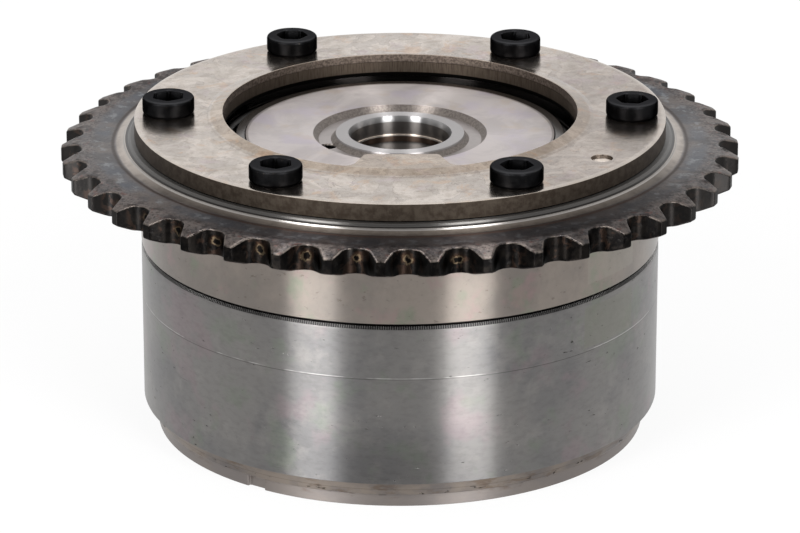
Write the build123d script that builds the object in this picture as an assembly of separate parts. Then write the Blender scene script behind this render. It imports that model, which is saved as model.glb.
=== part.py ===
from build123d import *
import math
import os

# Camshaft phaser of the vane type, driven by a single-row chain.
# It stands on its end cover, with the chain wheel and the screw heads on top.
# Z is the camshaft's axis, and the origin is the middle of the cover's outer face.
# All sizes are in millimetres and all angles in degrees, seen from above.

# Heights along the axis, from the bottom up
cover_lip_height = 4.7
cover_spigot_height = 4.6
chamber_height = 22.3
wheel_body_height = 17.7
plate_thickness = 3.05
side_clearance = 0.04
rotor_nose_depth = 0.2
rotor_tail_depth = 1.0

# Drum, shared by the housing and the chain wheel's body
drum_radius = 42.5
joint_groove = 0.4
serrated_chamfer_height = 0.95
serrated_chamfer_depth = 0.4

# End cover, whose spigot is bonded into the drum
cover_spigot_radius = 41.0
cover_fit = 0.05
cover_lip_radius = 41.4
cover_lip_taper = 0.6
cover_foot_radius = 40.2
cover_foot_height = 2.2
cover_bore_radius = 18.0
cover_notch_angle = -125.0
cover_notch_width = 3.2
cover_notch_depth = 0.6

# Screws that clamp the plate and the wheel to the housing
screw_count = 6
screw_circle_radius = 37.8
screw_first_angle = -1.06
screw_radius = 2.5
screw_length = 35.0
screw_head_radius = 4.25
screw_head_height = 2.85
screw_head_edge = 0.45
screw_socket_flats = 4.6
screw_socket_depth = 2.0
screw_socket_turns = (22.0, 4.0, 26.0, 0.0, 3.0, 24.0)
screw_hole_clearance = 0.25
screw_thread_fit = 0.02
screw_tap_play = 1.0

# Vanes, chambers and the turning range between their stops
vane_count = 4
chamber_radius = 33.0
vane_tip_clearance = 0.1
vane_tip_round = 0.8
hub_radius = 20.0
hub_clearance = 0.1
vane_width_angle = 20.0
lock_vane_width_angle = 27.2
phase_range = 25.0
stop_margin = 1.0
chamber_round = 1.0
lock_vane_angle = -161.3

# Seal strips at the vane tips and webs, each pressed out by a leaf spring
seal_width = 2.0
seal_height = 2.6
seal_end_clearance = 0.1
seal_slot_fit = 0.03
seal_running_gap = 0.03
leaf_width = 1.5
leaf_thickness = 0.25
leaf_bow = 0.7
leaf_length = 17.0
leaf_play = 0.02
lock_vane_seal_offset = 9.5

# Rotor hub, front journal and bore
journal_radius = 25.2
journal_clearance = 0.05
recess_radius = 14.2
recess_floor_radius = 13.3
recess_depth = 1.05
collar_radius = 10.48
collar_foot_radius = 11.3
collar_foot_height = 0.65
bore_mouth_radius = 8.47
bore_mouth_depth = 0.9
bore_entry_radius = 8.07
bore_entry_depth = 3.1
bolt_bore_radius = 7.8
bolt_land_depth = 4.2
oil_relief_radius = 8.6
oil_relief_depth = 12.3
spigot_radius = 16.0
spigot_depth = 9.0
tail_clearance = 0.05
oil_port_radius = 1.2
oil_port_offset = 4.0
oil_port_first = 3.6
oil_port_pitch = 6.0
vent_radius = 1.35
vent_circle_radius = 11.85

# Hole for the camshaft's own dowel in the rotor's spigot floor
dowel_radius = 2.0
dowel_fit = 0.05
dowel_circle_radius = 11.6
dowel_hole_depth = 6.0
dowel_angle = 63.7

# Lock pin and its spring
lock_circle_inset = 7.5
lock_pin_radius = 4.0
lock_pin_length = 15.0
lock_pin_fit = 0.05
lock_pin_set_back = 0.26
lock_pin_travel = 3.2
lock_pin_hollow_radius = 2.6
lock_pin_hollow_depth = 10.0
lock_bore_depth = 20.4
lock_pocket_clearance = 0.3
lock_spring_wire = 0.7
lock_spring_radius = 2.1
lock_spring_turns = 5
lock_spring_steps = 12
lock_spring_play = 0.05

# Chain wheel
tooth_count = 42
chain_pitch = 8.0
tooth_tip_rise = 1.82
tooth_tip_width = 1.5
tooth_root_drop = 1.53
tooth_seat_radius = 2.53
tooth_seat_half_angle = 64.0
tooth_tip_angle = -93.03
wheel_flange_rise = 12.2
wheel_flange_thickness = 4.3
tooth_bevel_reach = 2.6
tooth_bevel_height = 0.9
boss_radius = 44.2
boss_step_radius = 45.0
boss_step_depth = 0.5
boss_fillet_reach = 1.7

# Bias spring and the annular pocket that holds it
journal_ring_width = 1.65
journal_ring_drop = 0.3
pocket_play = 0.6
pocket_depth = 12.5
bias_wire = 2.6
bias_play = 0.1
bias_whole_turns = 3
bias_outer_angle = 149.0
bias_inner_angle = -89.3
bias_inner_reach = 6.2
bias_outer_reach = 3.6
bias_slot_clearance = 0.2
bias_steps = 30
wire_sides = 6

# Retaining plate
plate_radius = 43.35
plate_hole_radius = 28.93
plate_roll_drop = 0.15
plate_roll_width = 0.6
plate_lip_rise = 0.7
plate_lip_width = 2.8
plate_lip_flat = 0.2
tab_angle = -89.3
tab_end_radius = 22.0
tab_end_half_width = 5.9
tab_flare = 20.0
tab_corner_round = 0.7
tab_root_round = 2.0
dimple_circle_radius = 38.9
dimple_angle = -34.4
dimple_radius = 1.75
dimple_depth = 0.7

# Levels and radii that follow from the sizes above
z_lip = cover_lip_height
z_cover = z_lip + cover_spigot_height
z_seat = z_cover + chamber_height
z_boss = z_seat + wheel_body_height
z_plate = z_boss + plate_thickness
z_flange = z_seat + wheel_flange_rise
z_web = z_flange + wheel_flange_thickness
z_nose = z_boss - rotor_nose_depth
z_vane_bottom = z_cover + side_clearance
z_vane_top = z_seat - side_clearance
z_spigot_floor = rotor_tail_depth + spigot_depth
z_pocket = z_boss - pocket_depth
z_ring = z_boss - journal_ring_drop
z_screw_point = z_plate - screw_length
z_pin_tip = z_vane_bottom + lock_pin_set_back
z_lock_bore_end = z_vane_bottom + lock_bore_depth
screw_hole_radius = screw_radius + screw_hole_clearance
vane_tip_radius = chamber_radius - vane_tip_clearance
web_bore_radius = hub_radius + hub_clearance
lock_circle_radius = chamber_radius - lock_circle_inset
pitch_circle_radius = chain_pitch / 2 / math.sin(math.pi / tooth_count)
tooth_tip_radius = pitch_circle_radius + tooth_tip_rise
tooth_root_radius = pitch_circle_radius - tooth_root_drop
pocket_inner_radius = journal_radius + journal_clearance + journal_ring_width
bias_coil_radius = pocket_inner_radius + pocket_play + bias_wire / 2
pocket_outer_radius = bias_coil_radius + bias_wire / 2 + pocket_play
chamber_start = -lock_vane_width_angle / 2 - stop_margin
chamber_end = lock_vane_width_angle / 2 + phase_range + stop_margin
vane_pitch = 360 / vane_count
web_middle = (chamber_end + chamber_start + vane_pitch) / 2
seal_slot_depth = seal_height + leaf_bow + leaf_thickness + leaf_play


def polar(radius, angle):
    """Point in the XY plane at a radius and an angle."""
    turn = math.radians(angle)
    return (radius * math.cos(turn), radius * math.sin(turn))


def turned(points):
    """Solid of revolution about Z from a closed outline of (radius, height) points."""
    outline = make_face(Plane.XZ * Polyline(*points, close=True))
    return revolve(outline, axis=Axis.Z)


def cylinder_at(radius, x, y, bottom, top):
    """Upright round bar or hole between two heights."""
    return Pos(x, y, bottom) * extrude(Circle(radius), amount=top - bottom)


def ring_of(radius, count, circle_radius, first_angle, bottom, top):
    """Equally spaced upright round bars on a circle."""
    bars = []
    for index in range(count):
        x, y = polar(circle_radius, first_angle + index * 360 / count)
        bars.append(cylinder_at(radius, x, y, bottom, top))
    return bars


def sector(inner, outer, start, end):
    """Flat face between two radii and two angles."""
    sweep_angle = end - start
    edges = [
        CenterArc((0, 0), inner, start, sweep_angle),
        CenterArc((0, 0), outer, start, sweep_angle),
        Line(polar(inner, start), polar(outer, start)),
        Line(polar(inner, end), polar(outer, end)),
    ]
    return make_face(edges)


def outer_corners(face, radius):
    """Corners of a flat face that lie on a circle about the axis."""
    return face.vertices().filter_by(lambda v: abs(math.hypot(v.X, v.Y) - radius) < 0.01)


def radial_box(inner, outer, width, angle, bottom, top):
    """Rectangular bar that points away from the axis."""
    length = outer - inner
    middle = inner + length / 2
    outline = Pos(middle, 0) * Rectangle(length, width)
    return Rot(0, 0, angle) * Pos(0, 0, bottom) * extrude(outline, amount=top - bottom)


def seal_slots():
    """Angle and side of every seal strip: vane tips point out, webs point in."""
    slots = []
    for index in range(vane_count):
        vane_angle = lock_vane_angle + index * vane_pitch
        offset = lock_vane_seal_offset if index == 0 else 0
        slots.append(("vane", index + 1, vane_angle + offset))
        slots.append(("web", index + 1, vane_angle + web_middle))
    return slots


# End cover: stepped disc with the rotor's rear bearing and the lock pin's seats
def make_end_cover():
    cover = turned([
        (cover_bore_radius, 0),
        (cover_foot_radius, 0),
        (cover_foot_radius, cover_foot_height),
        (cover_lip_radius - cover_lip_taper, cover_foot_height),
        (cover_lip_radius, z_lip),
        (cover_spigot_radius, z_lip),
        (cover_spigot_radius, z_cover),
        (cover_bore_radius, z_cover),
    ])
    seat_floor = z_pin_tip - lock_pin_travel - lock_pocket_clearance
    seat_x, seat_y = polar(lock_circle_radius, lock_vane_angle)
    cover -= cylinder_at(lock_pin_radius + lock_pin_fit, seat_x, seat_y, seat_floor, z_cover)
    # A wider pocket lets the pin drop at the far stop as well
    pocket_x, pocket_y = polar(lock_circle_radius, lock_vane_angle + phase_range)
    cover -= cylinder_at(lock_pin_radius + lock_pocket_clearance, pocket_x, pocket_y, seat_floor, z_cover)
    return cover - radial_box(cover_foot_radius - cover_notch_depth, cover_lip_radius + 1,
                              cover_notch_width, cover_notch_angle, -1, cover_foot_height)


# Housing: drum with inward webs that make the oil chambers
def make_housing():
    counterbore = cover_spigot_radius + cover_fit
    drum = turned([
        (0, z_cover),
        (counterbore, z_cover),
        (counterbore, z_lip),
        (drum_radius, z_lip),
        (drum_radius, z_seat - serrated_chamfer_height),
        (drum_radius - serrated_chamfer_depth, z_seat),
        (0, z_seat),
    ])
    opening = extrude(Circle(web_bore_radius), amount=chamber_height)
    for index in range(vane_count):
        turn = lock_vane_angle + index * vane_pitch
        chamber = sector(hub_radius - 1, chamber_radius, turn + chamber_start, turn + chamber_end)
        chamber = fillet(outer_corners(chamber, chamber_radius), chamber_round)
        opening += extrude(chamber, amount=chamber_height)
    drum -= Pos(0, 0, z_cover) * opening
    for side, _, angle in seal_slots():
        if side == "web":
            drum -= radial_box(hub_radius - 1, web_bore_radius + seal_slot_depth,
                               seal_width + 2 * seal_slot_fit, angle, z_cover, z_seat)
    return drum - ring_of(screw_radius + screw_thread_fit, screw_count, screw_circle_radius,
                          screw_first_angle, z_screw_point - screw_tap_play, z_seat)


# Chain wheel: toothed flange and turned body, with the journal bore and the spring pocket
def tooth_outline():
    """Closed outline of the teeth: round seats joined by flanks and tip lands."""
    seat_angle = math.radians(tooth_seat_half_angle)
    seat_x = tooth_root_radius + tooth_seat_radius * (1 - math.cos(seat_angle))
    seat_y = tooth_seat_radius * math.sin(seat_angle)
    pitch_angle = 360 / tooth_count
    tip_half_angle = math.degrees(tooth_tip_width / 2 / tooth_tip_radius)
    tip_x, tip_y = polar(tooth_tip_radius, pitch_angle / 2 - tip_half_angle)
    next_tip = polar(tooth_tip_radius, pitch_angle / 2 + tip_half_angle)
    edges = []
    for index in range(tooth_count):
        turn = Rot(0, 0, tooth_tip_angle + (index + 0.5) * pitch_angle)
        seat = ThreePointArc((seat_x, -seat_y), (tooth_root_radius, 0), (seat_x, seat_y))
        edges += [
            turn * Line((tip_x, -tip_y), (seat_x, -seat_y)),
            turn * seat,
            turn * Line((seat_x, seat_y), (tip_x, tip_y)),
            turn * Line((tip_x, tip_y), next_tip),
        ]
    return make_face(edges)


def make_tooth_ring():
    """Toothed flange whose sides are bevelled towards the tips, one flat bevel to each tooth."""
    flange = tooth_outline() - Circle(boss_radius)
    teeth = Pos(0, 0, z_flange) * extrude(flange, amount=wheel_flange_thickness)
    half_thickness = wheel_flange_thickness / 2
    bevel_radius = tooth_tip_radius - tooth_bevel_reach
    reach = tooth_bevel_reach / tooth_bevel_height
    outline = RegularPolygon(bevel_radius + reach * half_thickness, tooth_count, major_radius=False)
    cap = extrude(outline, amount=half_thickness, taper=math.degrees(math.atan(reach)))
    blank = cap + mirror(cap, about=Plane.XY)
    side_turn = tooth_tip_angle - 180 / tooth_count
    return teeth & Pos(0, 0, z_flange + half_thickness) * Rot(0, 0, side_turn) * blank


def make_chain_wheel():
    bore_radius = journal_radius + journal_clearance
    z_step = z_boss - boss_step_depth
    wheel = turned([
        (bore_radius, z_seat),
        (drum_radius - joint_groove, z_seat),
        (drum_radius, z_seat + joint_groove),
        (drum_radius, z_flange),
        (boss_step_radius + boss_fillet_reach, z_flange),
        (boss_step_radius + boss_fillet_reach, z_web),
        (boss_step_radius, z_step),
        (boss_radius, z_step),
        (boss_radius, z_boss),
        (pocket_outer_radius, z_boss),
        (pocket_outer_radius, z_pocket),
        (pocket_inner_radius, z_pocket),
        (pocket_inner_radius, z_ring),
        (bore_radius, z_ring),
    ])
    wheel += make_tooth_ring()
    wheel -= ring_of(screw_hole_radius, screw_count, screw_circle_radius,
                     screw_first_angle, z_seat, z_boss)
    return wheel - spring_leg_window() - spring_leg_groove()


def spring_leg_window():
    """Window in the journal ring through which the spring's inner leg turns with the rotor."""
    half_width = bias_wire / 2 + bias_slot_clearance
    margin = math.degrees(half_width / journal_radius)
    floor = z_boss - bias_play - bias_wire - bias_slot_clearance
    window = sector(journal_radius - 1, pocket_inner_radius + 0.5 * bias_play,
                    bias_inner_angle - margin, bias_inner_angle + phase_range + margin)
    return Pos(0, 0, floor) * extrude(window, amount=z_boss - floor)


def spring_leg_groove():
    """Upright groove in the pocket's outer wall for the spring's outer leg."""
    return radial_box(pocket_outer_radius - 1, bias_coil_radius + bias_outer_reach + bias_slot_clearance,
                      bias_wire + 2 * bias_slot_clearance, bias_outer_angle, z_pocket, z_boss)


# Retaining plate: fine-blanked ring with a raised lip and one inward tab over the spring's inner leg
def make_retaining_plate():
    lip_top = plate_thickness + plate_lip_rise
    blank = turned([
        (0, 0),
        (plate_radius, 0),
        (plate_radius, plate_thickness - plate_roll_drop),
        (plate_radius - plate_roll_width, plate_thickness),
        (plate_hole_radius + plate_lip_width, plate_thickness),
        (plate_hole_radius + plate_lip_flat, lip_top),
        (0, lip_top),
    ])
    tab_root = plate_hole_radius + 1
    root_half_width = tab_end_half_width + math.tan(math.radians(tab_flare)) * (tab_root - tab_end_radius)
    tab = make_face(Polyline(
        (tab_end_radius, -tab_end_half_width),
        (tab_end_radius, tab_end_half_width),
        (tab_root, root_half_width),
        (tab_root, -root_half_width),
        close=True,
    ))
    hole = Circle(plate_hole_radius) - tab
    end_corners = outer_corners(hole, math.hypot(tab_end_radius, tab_end_half_width))
    hole = fillet(end_corners, tab_corner_round)
    hole = fillet(outer_corners(hole, plate_hole_radius).sort_by(Axis.X)[-2:], tab_root_round)
    plate = blank - Rot(0, 0, tab_angle) * extrude(hole, amount=lip_top)
    plate = Pos(0, 0, z_boss) * plate
    plate -= ring_of(screw_hole_radius, screw_count, screw_circle_radius,
                     screw_first_angle, z_boss, z_plate)
    x, y = polar(dimple_circle_radius, dimple_angle)
    return plate - cylinder_at(dimple_radius, x, y, z_plate - dimple_depth, z_plate)


# Screws: low cylinder heads with a hexagon socket
def make_screw(index):
    head_top = z_plate + screw_head_height
    blank = turned([
        (0, z_screw_point),
        (screw_radius, z_screw_point),
        (screw_radius, z_plate),
        (screw_head_radius, z_plate),
        (screw_head_radius, head_top - screw_head_edge),
        (screw_head_radius - screw_head_edge, head_top),
        (0, head_top),
    ])
    socket = RegularPolygon(screw_socket_flats / 2, 6, major_radius=False)
    blank -= Rot(0, 0, screw_socket_turns[index]) * Pos(0, 0, head_top - screw_socket_depth) * extrude(
        socket, amount=screw_socket_depth)
    x, y = polar(screw_circle_radius, screw_first_angle + index * 360 / screw_count)
    return Pos(x, y, 0) * blank


# Rotor: hub with four vanes, the front journal, the rear boss and the camshaft spigot
def make_rotor():
    bore_radius = cover_bore_radius - tail_clearance
    journal_bottom = z_seat + side_clearance
    collar_slope_top = z_nose - recess_depth + collar_foot_height
    hub = turned([
        (spigot_radius, rotor_tail_depth),
        (bore_radius, rotor_tail_depth),
        (bore_radius, z_vane_bottom),
        (hub_radius, z_vane_bottom),
        (hub_radius, journal_bottom),
        (journal_radius, journal_bottom),
        (journal_radius, z_nose),
        (recess_radius, z_nose),
        (recess_floor_radius, z_nose - recess_depth),
        (collar_foot_radius, z_nose - recess_depth),
        (collar_radius + 0.1, collar_slope_top),
        (collar_radius, z_nose),
        (bore_mouth_radius, z_nose),
        (bore_entry_radius, z_nose - bore_mouth_depth),
        (bore_entry_radius, z_nose - bore_entry_depth),
        (bolt_bore_radius, z_nose - bore_entry_depth),
        (bolt_bore_radius, z_nose - bolt_land_depth),
        (oil_relief_radius, z_nose - bolt_land_depth),
        (oil_relief_radius, z_nose - oil_relief_depth),
        (bolt_bore_radius, z_nose - oil_relief_depth),
        (bolt_bore_radius, z_spigot_floor),
        (spigot_radius, z_spigot_floor),
    ])
    for index in range(vane_count):
        half_width = (lock_vane_width_angle if index == 0 else vane_width_angle) / 2
        turn = lock_vane_angle + index * vane_pitch
        vane = sector(hub_radius - 1, vane_tip_radius, turn - half_width, turn + half_width)
        vane = fillet(outer_corners(vane, vane_tip_radius), vane_tip_round)
        hub += Pos(0, 0, z_vane_bottom) * extrude(vane, amount=z_vane_top - z_vane_bottom)
    for side, _, angle in seal_slots():
        if side == "vane":
            hub -= radial_box(vane_tip_radius - seal_slot_depth, chamber_radius,
                              seal_width + 2 * seal_slot_fit, angle, z_vane_bottom, z_vane_top)
    return hub - oil_ways() - lock_bore() - lock_vent() - leg_slot() - dowel_hole()


def oil_ways():
    """Two rows of cross holes in the hub: one hole for each side of every vane."""
    ports = []
    for row, side in enumerate((1, -1)):
        height = z_spigot_floor + oil_port_first + row * oil_port_pitch
        for index in range(vane_count):
            half_width = (lock_vane_width_angle if index == 0 else vane_width_angle) / 2
            angle = lock_vane_angle + index * vane_pitch + side * (half_width + oil_port_offset)
            port = Plane.YZ * extrude(Circle(oil_port_radius), amount=hub_radius + 1)
            ports.append(Rot(0, 0, angle) * Pos(0, 0, height) * port)
    return ports


def lock_bore():
    x, y = polar(lock_circle_radius, lock_vane_angle)
    return cylinder_at(lock_pin_radius + lock_pin_fit, x, y, z_vane_bottom, z_lock_bore_end)


def lock_vent():
    """Slanting drilling from the front recess to the spring's end of the lock pin bore."""
    top_x, top_y = polar(vent_circle_radius, lock_vane_angle)
    end_x, end_y = polar(lock_circle_radius - lock_pin_radius / 2, lock_vane_angle)
    start = Vector(top_x, top_y, z_nose)
    end = Vector(end_x, end_y, z_lock_bore_end - 2 * vent_radius)
    way = end - start
    return Plane(start, z_dir=way) * extrude(Circle(vent_radius), amount=way.length)


def leg_slot():
    """Slot in the journal's rim that the spring's inner leg drives."""
    half_width = bias_wire / 2 + bias_slot_clearance
    inner = bias_coil_radius - bias_inner_reach - bias_slot_clearance
    floor = z_boss - bias_play - bias_wire - bias_slot_clearance
    return radial_box(inner, journal_radius + 1, 2 * half_width, bias_inner_angle, floor, z_nose)


def dowel_hole():
    x, y = polar(dowel_circle_radius, dowel_angle)
    return cylinder_at(dowel_radius + dowel_fit, x, y, z_spigot_floor, z_spigot_floor + dowel_hole_depth)


# Lock pin and what belongs to it
def make_lock_pin():
    x, y = polar(lock_circle_radius, lock_vane_angle)
    top = z_pin_tip + lock_pin_length
    hollow_floor = top - lock_pin_hollow_depth
    pin = turned([
        (0, z_pin_tip),
        (lock_pin_radius, z_pin_tip),
        (lock_pin_radius, top),
        (lock_pin_hollow_radius, top),
        (lock_pin_hollow_radius, hollow_floor),
        (0, hollow_floor),
    ])
    return Pos(x, y, 0) * pin


def coil_points(coil_radius, bottom, top, first_angle, turns, steps_per_turn):
    """Points on a helix, evenly spaced."""
    steps = round(turns * steps_per_turn)
    points = []
    for step in range(steps + 1):
        x, y = polar(coil_radius, first_angle + step / steps * turns * 360)
        points.append((x, y, bottom + step / steps * (top - bottom)))
    return points


def wire_along(points, wire):
    """Spring wire with a few flat sides along a path of short straight lengths."""
    path = Polyline(*points)
    section = Plane(path @ 0, z_dir=path % 0) * RegularPolygon(wire / 2, wire_sides)
    return sweep(section, path=path, transition=Transition.RIGHT)


def make_lock_spring():
    x, y = polar(lock_circle_radius, lock_vane_angle)
    half = lock_spring_wire / 2
    bottom = z_pin_tip + lock_pin_length - lock_pin_hollow_depth + lock_spring_play + half
    top = z_lock_bore_end - lock_spring_play - half
    points = coil_points(lock_spring_radius, bottom, top, 0, lock_spring_turns, lock_spring_steps)
    return Pos(x, y, 0) * wire_along(points, lock_spring_wire)


# Bias spring: torsion coil in the pocket, one leg in the wheel and one in the rotor
def make_bias_spring():
    half = bias_wire / 2
    bottom = z_pocket + bias_play + half
    top = z_boss - bias_play - half
    turns = bias_whole_turns + (bias_inner_angle - bias_outer_angle) % 360 / 360
    points = coil_points(bias_coil_radius, bottom, top, bias_outer_angle, turns, bias_steps)
    outer_end = (*polar(bias_coil_radius + bias_outer_reach, bias_outer_angle), bottom)
    inner_end = (*polar(bias_coil_radius - bias_inner_reach, bias_inner_angle), top)
    return wire_along([outer_end] + points + [inner_end], bias_wire)


# Seal strips and their leaf springs
def make_seal(side, angle):
    bottom = z_vane_bottom + seal_end_clearance
    top = z_vane_top - seal_end_clearance
    if side == "vane":
        outer = chamber_radius - seal_running_gap
        strip = radial_box(outer - seal_height, outer + 1, seal_width, angle, bottom, top)
        return strip & Pos(0, 0, bottom) * extrude(Circle(outer), amount=top - bottom)
    inner = hub_radius + seal_running_gap
    strip = radial_box(inner - 1, inner + seal_height, seal_width, angle, bottom, top)
    return strip - Pos(0, 0, bottom) * extrude(Circle(inner), amount=top - bottom)


def make_leaf(side, angle):
    """Bowed strip whose ends stand on the slot's floor and whose middle presses the seal."""
    middle = (z_vane_bottom + z_vane_top) / 2
    half = leaf_length / 2
    if side == "vane":
        foot = vane_tip_radius - seal_slot_depth + leaf_play / 2
        crown = foot + leaf_bow - vane_tip_clearance
    else:
        foot = web_bore_radius + seal_slot_depth - leaf_play / 2
        crown = foot - leaf_bow + hub_clearance
    back = math.copysign(leaf_thickness, crown - foot)
    profile = make_face(Plane.XZ * Polyline(
        (foot, middle - half),
        (foot + back, middle - half),
        (crown + back, middle - half / 3),
        (crown + back, middle + half / 3),
        (foot + back, middle + half),
        (foot, middle + half),
        (crown, middle + half / 3),
        (crown, middle - half / 3),
        close=True,
    ))
    return Rot(0, 0, angle) * extrude(profile, amount=leaf_width / 2, both=True)


def write(name, solid):
    export_step(solid, f"parts/{name}.step")


def main():
    os.makedirs("parts", exist_ok=True)
    write("end_cover", make_end_cover())
    write("housing", make_housing())
    write("chain_wheel", make_chain_wheel())
    write("retaining_plate", make_retaining_plate())
    write("plate_screws", Compound(children=[make_screw(index) for index in range(screw_count)]))
    write("rotor", make_rotor())
    write("lock_pin", make_lock_pin())
    write("lock_pin_spring", make_lock_spring())
    write("bias_spring", make_bias_spring())
    for side, number, angle in seal_slots():
        write(f"{side}_seal_{number}", make_seal(side, angle))
        write(f"{side}_seal_spring_{number}", make_leaf(side, angle))


main()
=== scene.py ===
import math

import bmesh
import bpy
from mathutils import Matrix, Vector


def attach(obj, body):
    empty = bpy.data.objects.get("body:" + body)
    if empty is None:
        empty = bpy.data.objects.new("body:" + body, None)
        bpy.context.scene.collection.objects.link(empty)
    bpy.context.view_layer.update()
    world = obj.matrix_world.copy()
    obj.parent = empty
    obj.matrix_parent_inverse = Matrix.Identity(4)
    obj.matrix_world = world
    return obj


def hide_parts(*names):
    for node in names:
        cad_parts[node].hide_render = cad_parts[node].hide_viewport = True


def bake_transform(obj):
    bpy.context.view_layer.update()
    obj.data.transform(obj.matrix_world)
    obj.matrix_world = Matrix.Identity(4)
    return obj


# Looks of a camshaft phaser: a stepped drum with a chain wheel, a clamped plate and six screws.
# Sizes below are in millimetres, and everything that is made from them is in metres.

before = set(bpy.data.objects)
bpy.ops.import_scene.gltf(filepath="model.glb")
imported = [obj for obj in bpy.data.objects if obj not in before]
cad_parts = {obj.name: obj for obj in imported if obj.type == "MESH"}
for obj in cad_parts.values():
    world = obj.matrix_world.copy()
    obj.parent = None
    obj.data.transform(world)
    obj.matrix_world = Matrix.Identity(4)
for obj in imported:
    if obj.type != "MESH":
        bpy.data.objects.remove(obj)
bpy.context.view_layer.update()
MM = 0.001

# Heights of the main faces
drum_top = 31.6
pocket_floor = 36.8
wheel_under = 43.8
wheel_top = 48.1
boss_step = 48.8
ring_top = 49.0
boss_top = 49.3
plate_top = 52.35
lip_top = 53.05

# Chain wheel
tooth_count = 42
root_radius = 52.0
seat_radius = 2.53
seat_half_angle = 64.0
tip_radius = 55.34
tip_width = 1.5
tip_angle = -93.03
tooth_edge = 0.32
bevel_reach = 2.6
bevel_drop = 0.9
flat_web_radius = 50.2
web_root_radius = 46.9
web_root_reach = 1.9

# Journal ring, spring pocket and the running gaps round the spring's legs and the screws
journal_bore = 25.25
pocket_inner = 26.9
pocket_outer = 30.7
broken_edge = 0.15
leg_gap = 0.2
screw_gap = 0.25

# Bare fields of the labels, each with its turns and its heights
drum_label = (43.7, 61.3), (23.2, 30.1)
wheel_label = (44.5, 61.5), (34.0, 42.8)

# Screws
screw_circle = 37.8
screw_first_angle = -1.06
screw_turns = (22.0, 4.0, 26.0, 0.0, 3.0, 24.0)
head_radius = 4.25
head_height = 2.85
head_edge = 0.55
shank_radius = 2.5
screw_point = 17.35
socket_flats = 4.6
socket_depth = 2.0

# Bias spring
wire = 2.6
coil_radius = 28.8
coil_low = 38.2
coil_high = 47.9
outer_leg_angle = 149.0
inner_leg_angle = -89.3
inner_leg_reach = 6.2
outer_leg_reach = 3.6
spring_travel = 25.0

# Serrated rim of the drum
rib_count = 720
rib_share = 0.27
drum_radius = 42.5
rim_drop = 0.95
rim_inset = 0.4

# Studio, in metres, degrees and the brightness of a lamp's face
camera_lift = 20.597
camera_distance = 0.8069
camera_target = 0.02568
camera_lens = 220.0
strip_height = 1.2
strip_middle = 0.62
strip_radiance = 10.4
top_radiance = 0.4


def tone(red, green, blue):
    """Colour as it is read off a shade card, 0 to 255, made linear."""
    parts = [value / 255 for value in (red, green, blue)]
    return tuple(v / 12.92 if v <= 0.04045 else ((v + 0.055) / 1.055) ** 2.4 for v in parts)


class Value:
    """One output of a node. Arithmetic on it adds Math nodes."""

    def __init__(self, nodes, socket):
        self.nodes = nodes
        self.socket = socket

    def out(self, name):
        """Another output of the same node."""
        return Value(self.nodes, self.socket.node.outputs[name])

    def math(self, operation, *terms):
        return self.nodes.add("ShaderNodeMath", {"operation": operation}, dict(enumerate(terms)))

    def __add__(self, other):
        return self.math("ADD", self, other)

    __radd__ = __add__

    def __sub__(self, other):
        return self.math("SUBTRACT", self, other)

    def __rsub__(self, other):
        return self.math("SUBTRACT", other, self)

    def __mul__(self, other):
        return self.math("MULTIPLY", self, other)

    __rmul__ = __mul__

    def __truediv__(self, other):
        return self.math("DIVIDE", self, other)

    def __neg__(self):
        return self * -1

    def __abs__(self):
        return self.math("ABSOLUTE", self)


class Nodes:
    """Adds nodes to one tree: the settings first, then the values or links of the inputs."""

    def __init__(self, tree):
        self.tree = tree

    def add(self, kind, settings=None, inputs=None, output=0):
        node = self.tree.nodes.new(kind)
        for name, value in (settings or {}).items():
            setattr(node, name, value)
        for name, value in (inputs or {}).items():
            self.feed(node.inputs[name], value)
        return Value(self, node.outputs[output] if node.outputs else None)

    def feed(self, socket, value):
        if isinstance(value, Value):
            self.tree.links.new(value.socket, socket)
        elif socket.type == "RGBA":
            socket.default_value = (*value, 1.0)
        else:
            socket.default_value = value


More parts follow.
